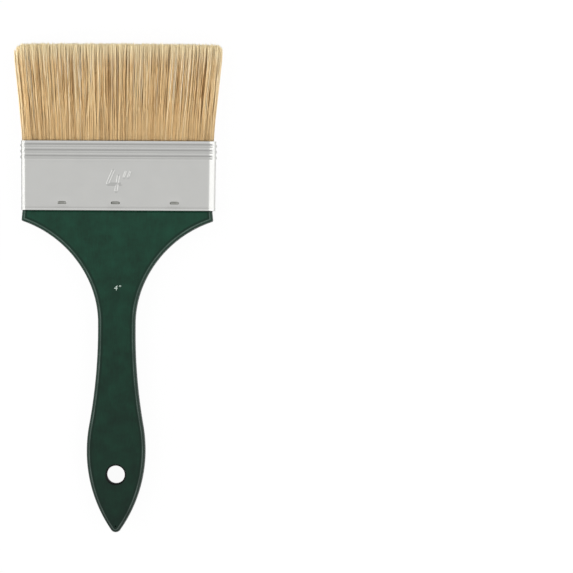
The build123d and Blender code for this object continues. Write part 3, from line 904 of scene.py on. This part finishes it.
# Bristle: thousands of tapering hog hairs round a packed core.
bristleNodes = ["bristle_layer_front", "bristle_layer_back"]
bristleForm = {   # mm, heights from the ferrule's mouth
    "heights": (-3, 0, 12, 22, 31, 43, 52), "widening": (0, 0, 0.24, 0.46, 0.68, 0.98, 1.06),
    "mouthHalf": 50.28, "mouthThick": 4.52, "wideThick": 5.72,
    # The ends: rounded off, cut back at the corners over a reach, and a little crowned.
    "tipRound": 1.1, "tipRoundShare": 0.92, "leftCorner": (8.0, 5.8), "rightCorner": (4.0, 2.5),
    "shortened": 0.1, "crowned": 0.45,
    "clumpLength": 0.28, "strandLength": 0.32, "shorterShare": 0.12, "shorterBy": 1.8, "longest": 0.9,
    # Real hairs are half as thick and closer together, which would be too fine to show.
    "spacing": 0.34, "rootScatter": 0.3, "rootRadius": 0.17, "tipRadius": 0.095, "taper": 3.5, "point": 0.9,
    "shellDepth": 1.7, "shellFrom": -2.0, "shortLength": 11.0,   # hairs further in show only at the tips
    "clumpAcross": 0.65, "clumpDeep": 0.9, "clumpScatter": (0.6, 0.5),
    # Across and deep: how far hairs draw together, how far clumps and hairs wave, and how they lean.
    "pull": (0.30, 0.21), "clumpWave": (0.16, 0.30), "wave": (0.10, 0.10), "leanShare": (1.0, 0.5),
    # From least to most: waves in a clump's and a hair's length, and what these sizes are times.
    "clumpRate": (0.7, 1.7), "rate": (1.4, 3.2), "clumpSize": (0.35, 1.0), "thickness": (0.75, 1.2),
    "freeFrom": 0.55,   # of the height, above which hairs move fully
    "lean": 0.35, "stray": 1.3, "strayShare": 0.10, "drift": 0.35,
    "sideMargin": 0.1, "faceMargin": (0.12, 0.25),   # inside the bundle, the second by chance
    # Tones from 0, shaded, to 1, cream: the middle one, what painted light adds at the sides, what the upper
    # half adds, how far clumps and hairs differ, how much evener the sides are under that painted light, and
    # how the difference grows.
    "meanTone": 0.45, "paintedSideLight": 0.24, "sideReach": 6, "upperLight": 0.10, "clumpTone": 0.05,
    "strandTone": 0.19, "sideEven": 0.4, "toneGrows": (0.62, 0.55),
    "shadeDepth": 2.5, "shadeLost": 0.8,   # painted shade: the depth where it is darkest, and how much of that goes at the tips
    # The core: its rows and points, where it starts and how far below the tips it ends and tapers
    # off, how far it reaches out among the outer hairs, and the half thickness that it and they
    # taper to together.
    "coreRows": 18, "coreTurnPoints": 13, "coreEnds": (-3, 3.5), "coreTaper": (15, 2.5),
    "coreUnder": 0.35, "coreTipHalf": 1.9,
    "shellSegments": 9, "shortSegments": 4, "facesPerPiece": 180000,
}


# Half width and half thickness of the whole bundle at these heights above the mouth.
def bundleHalf(height):
    form = bristleForm
    spread = np.interp(height, form["heights"], form["widening"])
    wide = form["mouthHalf"] + (bristleHigh[0] - form["mouthHalf"]) * spread
    thick = form["mouthThick"] + (form["wideThick"] - form["mouthThick"]) * np.minimum(spread, 1)
    return wide, thick


# How far points lie inside a flat oval, and the same points brought inside it.
def keepInOval(x, z, halfWide, halfThick):
    straight = halfWide - halfThick
    centreX = np.clip(x, -straight, straight)
    away = np.hypot(x - centreX, z)
    shrink = np.where(away > halfThick, halfThick / np.maximum(away, 1e-9), 1)
    return halfThick - away, centreX + (x - centreX) * shrink, z * shrink


# Where the hairs stand at the mouth, and how far inside the bundle each one is.
def strandRoots():
    form = bristleForm
    gap = form["spacing"]
    across = np.arange(-form["mouthHalf"], form["mouthHalf"], gap)
    deep = np.arange(-form["mouthThick"], form["mouthThick"], gap * 0.87)   # rows set like bricks
    x, z = np.meshgrid(across, deep)
    x = x + gap / 2 * (np.arange(len(deep))[:, None] % 2)
    x = x + chance.normal(0, form["rootScatter"] * gap, x.shape)
    z = z + chance.normal(0, form["rootScatter"] * gap, z.shape)
    x, z = x.ravel(), z.ravel()
    inside = keepInOval(x, z, form["mouthHalf"], form["mouthThick"])[0]
    chosen = inside > 0.05
    return x[chosen], z[chosen], inside[chosen]


# Where the clumps stand at the mouth, and which clump each hair belongs to.
def clumpsFor(x, z):
    form = bristleForm
    across = np.arange(-form["mouthHalf"], form["mouthHalf"] + 1, form["clumpAcross"])
    deep = np.arange(-form["mouthThick"], form["mouthThick"] + 1, form["clumpDeep"])
    centreX, centreZ = (grid.ravel() for grid in np.meshgrid(across, deep))
    scatterX, scatterZ = form["clumpScatter"]
    centreX = centreX + chance.uniform(-scatterX, scatterX, centreX.shape) * form["clumpAcross"]
    centreZ = centreZ + chance.uniform(-scatterZ, scatterZ, centreZ.shape) * form["clumpDeep"]
    tree = kdtree.KDTree(len(centreX))
    for number, centre in enumerate(zip(centreX, centreZ)):
        tree.insert((*centre, 0), number)
    tree.balance()
    nearest = np.array([tree.find((a, b, 0))[1] for a, b in zip(x, z)])
    return centreX, centreZ, nearest


# How far each hair reaches above the mouth.
def strandLengths(x, z, clump, clumps):
    form = bristleForm
    fullLength = tipsY - mouthY
    wideEnd, thickEnd = bundleHalf(fullLength)
    growX, growZ = wideEnd / form["mouthHalf"], thickEnd / form["mouthThick"]
    endInside = keepInOval(x * growX, z * growZ, wideEnd, thickEnd)[0]
    near = np.clip(1 - endInside / form["tipRound"], 0, 1)
    length = fullLength - form["tipRound"] * (1 - np.sqrt(1 - near**2)) * form["tipRoundShare"]
    for towards, (reach, drop) in ((-1, form["leftCorner"]), (1, form["rightCorner"])):
        length -= drop * np.clip(1 - (wideEnd - towards * x * growX) / reach, 0, 1) ** 4
    length -= form["shortened"] + form["crowned"] * (x / form["mouthHalf"]) ** 2
    length += chance.normal(0, form["clumpLength"], clumps)[clump]
    length += chance.normal(0, form["strandLength"], len(x))
    shorter = chance.random(len(x)) < form["shorterShare"]
    length -= shorter * chance.exponential(form["shorterBy"], len(x))
    return np.minimum(length, fullLength + form["longest"])


# For the outer hairs and then the inner ones: the points along each, its radius, how it is turned, its tone,
# and the painted shade it gets from lying deep in the bundle.
def growStrands():
    form = bristleForm
    x, z, inside = strandRoots()
    clumpX, clumpZ, clump = clumpsFor(x, z)
    count, clumps = len(x), len(clumpX)
    fullLength = tipsY - mouthY
    length = strandLengths(x, z, clump, clumps)
    shell = inside < form["shellDepth"]
    start = np.where(shell, form["shellFrom"], fullLength - form["shortLength"])
    clumpTurn = chance.uniform(0, 2 * math.pi, (4, clumps))[:2, clump]   # half of the draws are used
    clumpRate = chance.uniform(*form["clumpRate"], (2, clumps))[:, clump]
    clumpSize = chance.uniform(*form["clumpSize"], (2, clumps))[:, clump]
    drift = chance.normal(0, form["drift"], clumps)[clump]
    turn = chance.uniform(0, 2 * math.pi, (2, count))
    rate = chance.uniform(*form["rate"], (2, count))
    stray = chance.random(count) < form["strayShare"]
    lean = chance.normal(0, 1, (2, count)) * np.where(stray, form["stray"], form["lean"])
    tone = form["clumpTone"] * chance.normal(0, 1, clumps)[clump]
    tone = tone + form["strandTone"] * chance.normal(0, 1, count)
    # Painted light: paler and more even at the thin sides, where the lamps catch them.
    paintedEdgeLight = np.clip(1 - (form["mouthHalf"] - np.abs(x)) / form["sideReach"], 0, 1)
    tone *= 1 - form["sideEven"] * paintedEdgeLight
    thickness = chance.uniform(*form["thickness"], count)
    spin = chance.uniform(0, 2 * math.pi, count)
    pull, clumpWave, wave, leanShare = (
        np.array(form[name])[:, None, None] for name in ("pull", "clumpWave", "wave", "leanShare"))

    pieces = []
    layers = (("Outer", shell, form["shellSegments"]), ("Inner", ~shell, form["shortSegments"]))
    for label, chosen, segments in layers:
        rows = np.nonzero(chosen)[0]
        rows = rows[np.argsort(z[rows] + 0.0001 * x[rows])]
        first, last = start[rows, None], length[rows, None]
        height = first + (last - first - form["point"]) * np.linspace(0, 1, segments) ** 0.92
        height = np.hstack([height, last])
        up = height / fullLength
        wide, thick = bundleHalf(height)
        growX, growZ = wide / form["mouthHalf"], thick / form["mouthThick"]
        free = smoothStep(up, 0, form["freeFrom"])
        phase = 2 * math.pi * up
        own = np.stack([x[rows, None] * growX, z[rows, None] * growZ])
        centre = np.stack([clumpX[clump[rows], None] * growX, clumpZ[clump[rows], None] * growZ])
        at = own + pull * free * (centre - own)
        clumpSwing = np.sin(phase * clumpRate[:, rows, None] + clumpTurn[:, rows, None])
        at += free * clumpWave * clumpSize[:, rows, None] * clumpSwing
        at += free * wave * np.sin(phase * rate[:, rows, None] + turn[:, rows, None])
        at += free**2 * leanShare * lean[:, rows, None]
        at[0] += drift[rows, None] * free
        always, more = form["faceMargin"]
        margin = always + more * chance.random((len(rows), 1))
        strandInside, atX, atZ = keepInOval(*at, wide - form["sideMargin"], thick - margin)
        thinner = (form["tipRadius"] - form["rootRadius"]) * up.clip(0, 1) ** form["taper"]
        radius = (form["rootRadius"] + thinner) * thickness[rows, None]
        points = np.stack([atX, mouthY + height, middleZ + atZ], axis=-1)
        deep = np.clip(strandInside, 0, form["shadeDepth"]) / form["shadeDepth"]
        deep = deep * (1 - form["shadeLost"] * smoothStep(up, 0.1, 0.95))
        atRoot, added = form["toneGrows"]
        ownTone = form["meanTone"] + form["paintedSideLight"] * paintedEdgeLight[rows, None]
        ownTone = ownTone + form["upperLight"] * smoothStep(up, 0.45, 0.85)
        ownTone = ownTone + tone[rows, None] * (atRoot + added * smoothStep(up, 0, 0.7))
        pieces.append((label, points, radius, spin[rows], ownTone, deep))
    return pieces


# Three-sided hairs, closed at the root and running out to a point, as one mesh.
def strandMesh(name, points, radius, spin, tone, deep):
    count, rings = points.shape[:2]
    angle = spin[:, None] + np.arange(3) * 2 * math.pi / 3
    around = np.stack([np.cos(angle), np.zeros_like(angle), np.sin(angle)], axis=-1)
    ringPoints = points[:, :-1, None] + around[:, None] * radius[:, :-1, None, None]
    vertices = np.concatenate([ringPoints.reshape(-1, 3), points[:, -1]])
    perHair = (rings - 1) * 3
    root = np.arange(count)[:, None] * perHair
    first = root[:, None] + np.arange(rings - 2)[None, :, None] * 3
    here, following = np.arange(3), np.array([1, 2, 0])
    quads = np.stack([first + here, first + 3 + here, first + 3 + following, first + following], axis=-1)
    lastRing = root + (rings - 2) * 3
    tip = np.broadcast_to(count * perHair + np.arange(count)[:, None], (count, 3))
    tips = np.stack([lastRing + here, tip, lastRing + following], axis=-1)
    mesh = meshFrom(name, vertices, [quads.reshape(-1, 4), tips.reshape(-1, 3), root + here])
    mesh.polygons.foreach_set("use_smooth", np.ones(len(mesh.polygons), bool))
    for label, values in (("strandTone", tone), ("strandShade", deep)):
        addValues(mesh, label, np.concatenate([np.repeat(values[:, :-1], 3, axis=1).ravel(), values[:, -1]]))
    # Each hair has its own upright strip of the map, in rows of strips with margins between them.
    stripRows = 6
    stripColumns = math.ceil(count / stripRows)
    along = np.linspace(0, 1, rings)
    strand = np.concatenate([np.repeat(np.arange(count), perHair), np.arange(count)])
    ringOf = np.concatenate([np.tile(np.repeat(np.arange(rings - 1), 3), count), np.full(count, rings - 1)])
    cornerOf = np.concatenate([np.tile(np.arange(3), count * (rings - 1)), np.ones(count, int)])
    across = (strand // stripRows + 0.2 + 0.3 * cornerOf) / stripColumns
    upwards = (strand % stripRows + 0.04 + 0.92 * along[ringOf]) / stripRows
    corner = np.zeros(len(mesh.loops), np.int32)
    mesh.loops.foreach_get("vertex_index", corner)
    strips = mesh.uv_layers.new(name="OFBake")
    spots = np.stack([across[corner], upwards[corner]], axis=-1)
    strips.uv.foreach_set("vector", spots.astype(np.float32).ravel())
    return mesh


# Natural hog bristle, boiled straight: semi-matt straw-coloured hairs, with painted shade in brown deep in
# the bundle, duller at the ferrule, paler and softer at their split tips.
def hogBristle():
    look = {
        "shade": "#8c6232", "tan": "#e5c088", "straw": "#f1d7a6", "cream": "#fbedcf", "deepShade": "#a07845",
        "root": "#d0b080", "tip": "#fff1ca", "roughness": 0.46,
        "bandWidth": 1.2, "bandLength": 7.0,   # mm
        # The mm before the tips where they start to pale, the mm past them where that is full, and
        # how far it goes.
        "tipFade": (12.5, 0.5, 0.85),
        "rootFade": (20, 0.55),   # the mm above the mouth that are duller, and how far that goes
    }
    material, tree = startMaterial("hogBristle")
    place = addNode(tree, "ShaderNodeTexCoord")
    own = addNode(tree, "ShaderNodeAttribute", attribute_name="strandTone")
    deep = addNode(tree, "ShaderNodeAttribute", attribute_name="strandShade")
    bands = addNode(tree, "ShaderNodeMapping", {
        "Vector": place.outputs["Object"],
        "Scale": scaleFor(look["bandWidth"], look["bandLength"], look["bandWidth"])})
    patches = addNode(tree, "ShaderNodeTexNoise", {"Vector": bands.outputs[0], "Scale": 1.0, "Detail": 2.0})
    spread = addNode(tree, "ShaderNodeMapRange", {0: patches.outputs[0], 1: 0.3, 2: 0.7, 3: -0.08, 4: 0.08})
    tone = addNode(tree, "ShaderNodeMath", {0: own.outputs["Fac"], 1: spread.outputs[0]}, operation="ADD")
    colour = addNode(tree, "ShaderNodeValToRGB", {0: tone.outputs[0]}, stops=[
        (0.0, linearColour(look["shade"])), (0.34, linearColour(look["tan"])),
        (0.66, linearColour(look["straw"])), (0.95, linearColour(look["cream"]))])
    # Painted shade: hairs deep in the bundle turn brown.
    shaded = addNode(tree, "ShaderNodeMix", {
        0: deep.outputs["Fac"], 6: colour.outputs[0], 7: linearColour(look["deepShade"])}, data_type="RGBA")
    parts = addNode(tree, "ShaderNodeSeparateXYZ", {0: place.outputs["Object"]})
    before, past, paled = look["tipFade"]
    split = addNode(tree, "ShaderNodeMapRange", {
        0: parts.outputs["Y"], 1: (tipsY - before) * mm, 2: (tipsY + past) * mm, 4: paled},
        interpolation_type="SMOOTHSTEP")
    above, dulled = look["rootFade"]
    low = addNode(tree, "ShaderNodeMapRange", {
        0: parts.outputs["Y"], 1: mouthY * mm, 2: (mouthY + above) * mm, 3: dulled, 4: 0.0})
    rooted = addNode(tree, "ShaderNodeMix", {
        0: low.outputs[0], 6: shaded.outputs[2], 7: linearColour(look["root"])}, data_type="RGBA")
    tipped = addNode(tree, "ShaderNodeMix", {
        0: split.outputs[0], 6: rooted.outputs[2], 7: linearColour(look["tip"])}, data_type="RGBA")
    hair = addNode(tree, "ShaderNodeBsdfPrincipled", {
        "Base Color": tipped.outputs[2], "Roughness": look["roughness"], "IOR": 1.54,
        "Specular IOR Level": 0.3})
    addNode(tree, "ShaderNodeOutputMaterial", {"Surface": hair.outputs[0]})
    return material


# Hairs packed tight behind the outer ones: painted shade of dark brown, with straw-coloured lines.
def shadedPackedBristle():
    look = {"dark": "#8f6a38", "straw": "#d9b27a", "hairWidth": 0.35, "hairLength": 14.0}   # mm
    material, tree = startMaterial("shadedPackedBristle")
    place = addNode(tree, "ShaderNodeTexCoord")
    stretched = addNode(tree, "ShaderNodeMapping", {
        "Vector": place.outputs["Object"],
        "Scale": scaleFor(look["hairWidth"], look["hairLength"], look["hairWidth"])})
    hairs = addNode(tree, "ShaderNodeTexNoise", {"Vector": stretched.outputs[0], "Scale": 1.0, "Detail": 2.0})
    colour = addNode(tree, "ShaderNodeValToRGB", {0: hairs.outputs[0]}, stops=[
        (0.4, linearColour(look["dark"])), (0.65, linearColour(look["straw"]))])
    bump = addNode(tree, "ShaderNodeBump", {
        "Strength": 0.6, "Distance": 0.1 * mm, "Height": hairs.outputs[0]})
    packed = addNode(tree, "ShaderNodeBsdfPrincipled", {
        "Base Color": colour.outputs[0], "Roughness": 0.6, "Normal": bump.outputs[0]})
    addNode(tree, "ShaderNodeOutputMaterial", {"Surface": packed.outputs[0]})
    return material


# The core, a little inside the outer hairs.
def makeCoreMesh():
    form = bristleForm
    fullLength = tipsY - mouthY
    low, short = form["coreEnds"]
    taperFrom, taperTo = form["coreTaper"]
    points = form["coreTurnPoints"]
    turn = np.concatenate([
        np.linspace(math.pi / 2, -math.pi / 2, points), np.linspace(-math.pi / 2, -3 * math.pi / 2, points)])
    rows = []
    for height in np.linspace(low, fullLength - short, form["coreRows"]):
        wide, thick = bundleHalf(height)
        # It tapers off under the tips.
        rounded = smoothStep(height, fullLength - taperFrom, fullLength - taperTo)
        inset = form["shellDepth"] - form["coreUnder"] + (thick - form["coreTipHalf"]) * rounded
        radius = thick - inset
        endX = np.repeat([wide - thick, thick - wide], points)
        alongY = np.full(2 * points, mouthY + height)
        upZ = middleZ + radius * np.sin(turn)
        rows.append(np.stack([endX + radius * np.cos(turn), alongY, upZ], axis=-1))
    return weldGrids("bristleCore", [(np.array(rows), True, None)])


def makeBristle():
    material = hogBristle()
    addPiece("bristleCore", makeCoreMesh(), shadedPackedBristle(), bristleNodes)
    for label, points, radius, spin, tone, deep in growStrands():
        perStrand = 6 * (points.shape[1] - 2) + 4
        parts = math.ceil(len(points) * perStrand / bristleForm["facesPerPiece"])
        for number, rows in enumerate(np.array_split(np.arange(len(points)), parts)):
            name = f"bristle{label}{number + 1}"
            mesh = strandMesh(name, points[rows], radius[rows], spin[rows], tone[rows], deep[rows])
            addPiece(name, mesh, material, bristleNodes)


# Sawn beech, unpainted: pale pinkish wood with short dark rays.
def sawnBeech():
    look = {"pale": "#d9b98c", "dark": "#b98f5f", "rayWidth": 0.5, "rayLength": 5.0}
    material, tree = startMaterial("sawnBeech")
    place = addNode(tree, "ShaderNodeTexCoord")
    stretched = addNode(tree, "ShaderNodeMapping", {
        "Vector": place.outputs["Object"],
        "Scale": scaleFor(look["rayLength"], look["rayWidth"], look["rayWidth"])})
    rays = addNode(tree, "ShaderNodeTexNoise", {"Vector": stretched.outputs[0], "Scale": 1.0, "Detail": 4.0})
    colour = addNode(tree, "ShaderNodeValToRGB", {0: rays.outputs[0]}, stops=[
        (0.35, linearColour(look["dark"])), (0.6, linearColour(look["pale"]))])
    wood = addNode(tree, "ShaderNodeBsdfPrincipled", {"Base Color": colour.outputs[0], "Roughness": 0.7})
    addNode(tree, "ShaderNodeOutputMaterial", {"Surface": wood.outputs[0]})
    return material


# Epoxy, poured and cured round the bristle's roots: glossy amber with small bubbles.
def castEpoxy():
    look = {"amber": "#8a5a20", "bubble": "#b88848", "bubbleSize": 0.8}
    material, tree = startMaterial("castEpoxy")
    place = addNode(tree, "ShaderNodeTexCoord")
    bubbles = addNode(tree, "ShaderNodeTexVoronoi", {
        "Vector": place.outputs["Object"], "Scale": 1 / (look["bubbleSize"] * mm)})
    colour = addNode(tree, "ShaderNodeValToRGB", {0: bubbles.outputs["Distance"]}, stops=[
        (0.15, linearColour(look["bubble"])), (0.35, linearColour(look["amber"]))])
    resin = addNode(tree, "ShaderNodeBsdfPrincipled", {
        "Base Color": colour.outputs[0], "Roughness": 0.18, "IOR": 1.55})
    addNode(tree, "ShaderNodeOutputMaterial", {"Surface": resin.outputs[0]})
    return material


def dressHiddenNodes():
    for node, material in (("filler_strip", sawnBeech()), ("resin_set", castEpoxy())):
        mesh = frame["nodes"][node].data
        mesh.materials.clear()
        mesh.materials.append(material)
        print("carried over:", node)


makeStudio()
addPiece("handleBoard", makeHandleMesh(), lacqueredBeech(), ["handle"])
makePrint()
addPiece("ferruleSleeve", makeFerruleMesh(), tinPlatedSteel(), ["ferrule"])
makeStaples("staplesFront", "staples_front", 1)
makeStaples("staplesBack", "staples_back", -1)
makeBristle()
dressHiddenNodes()
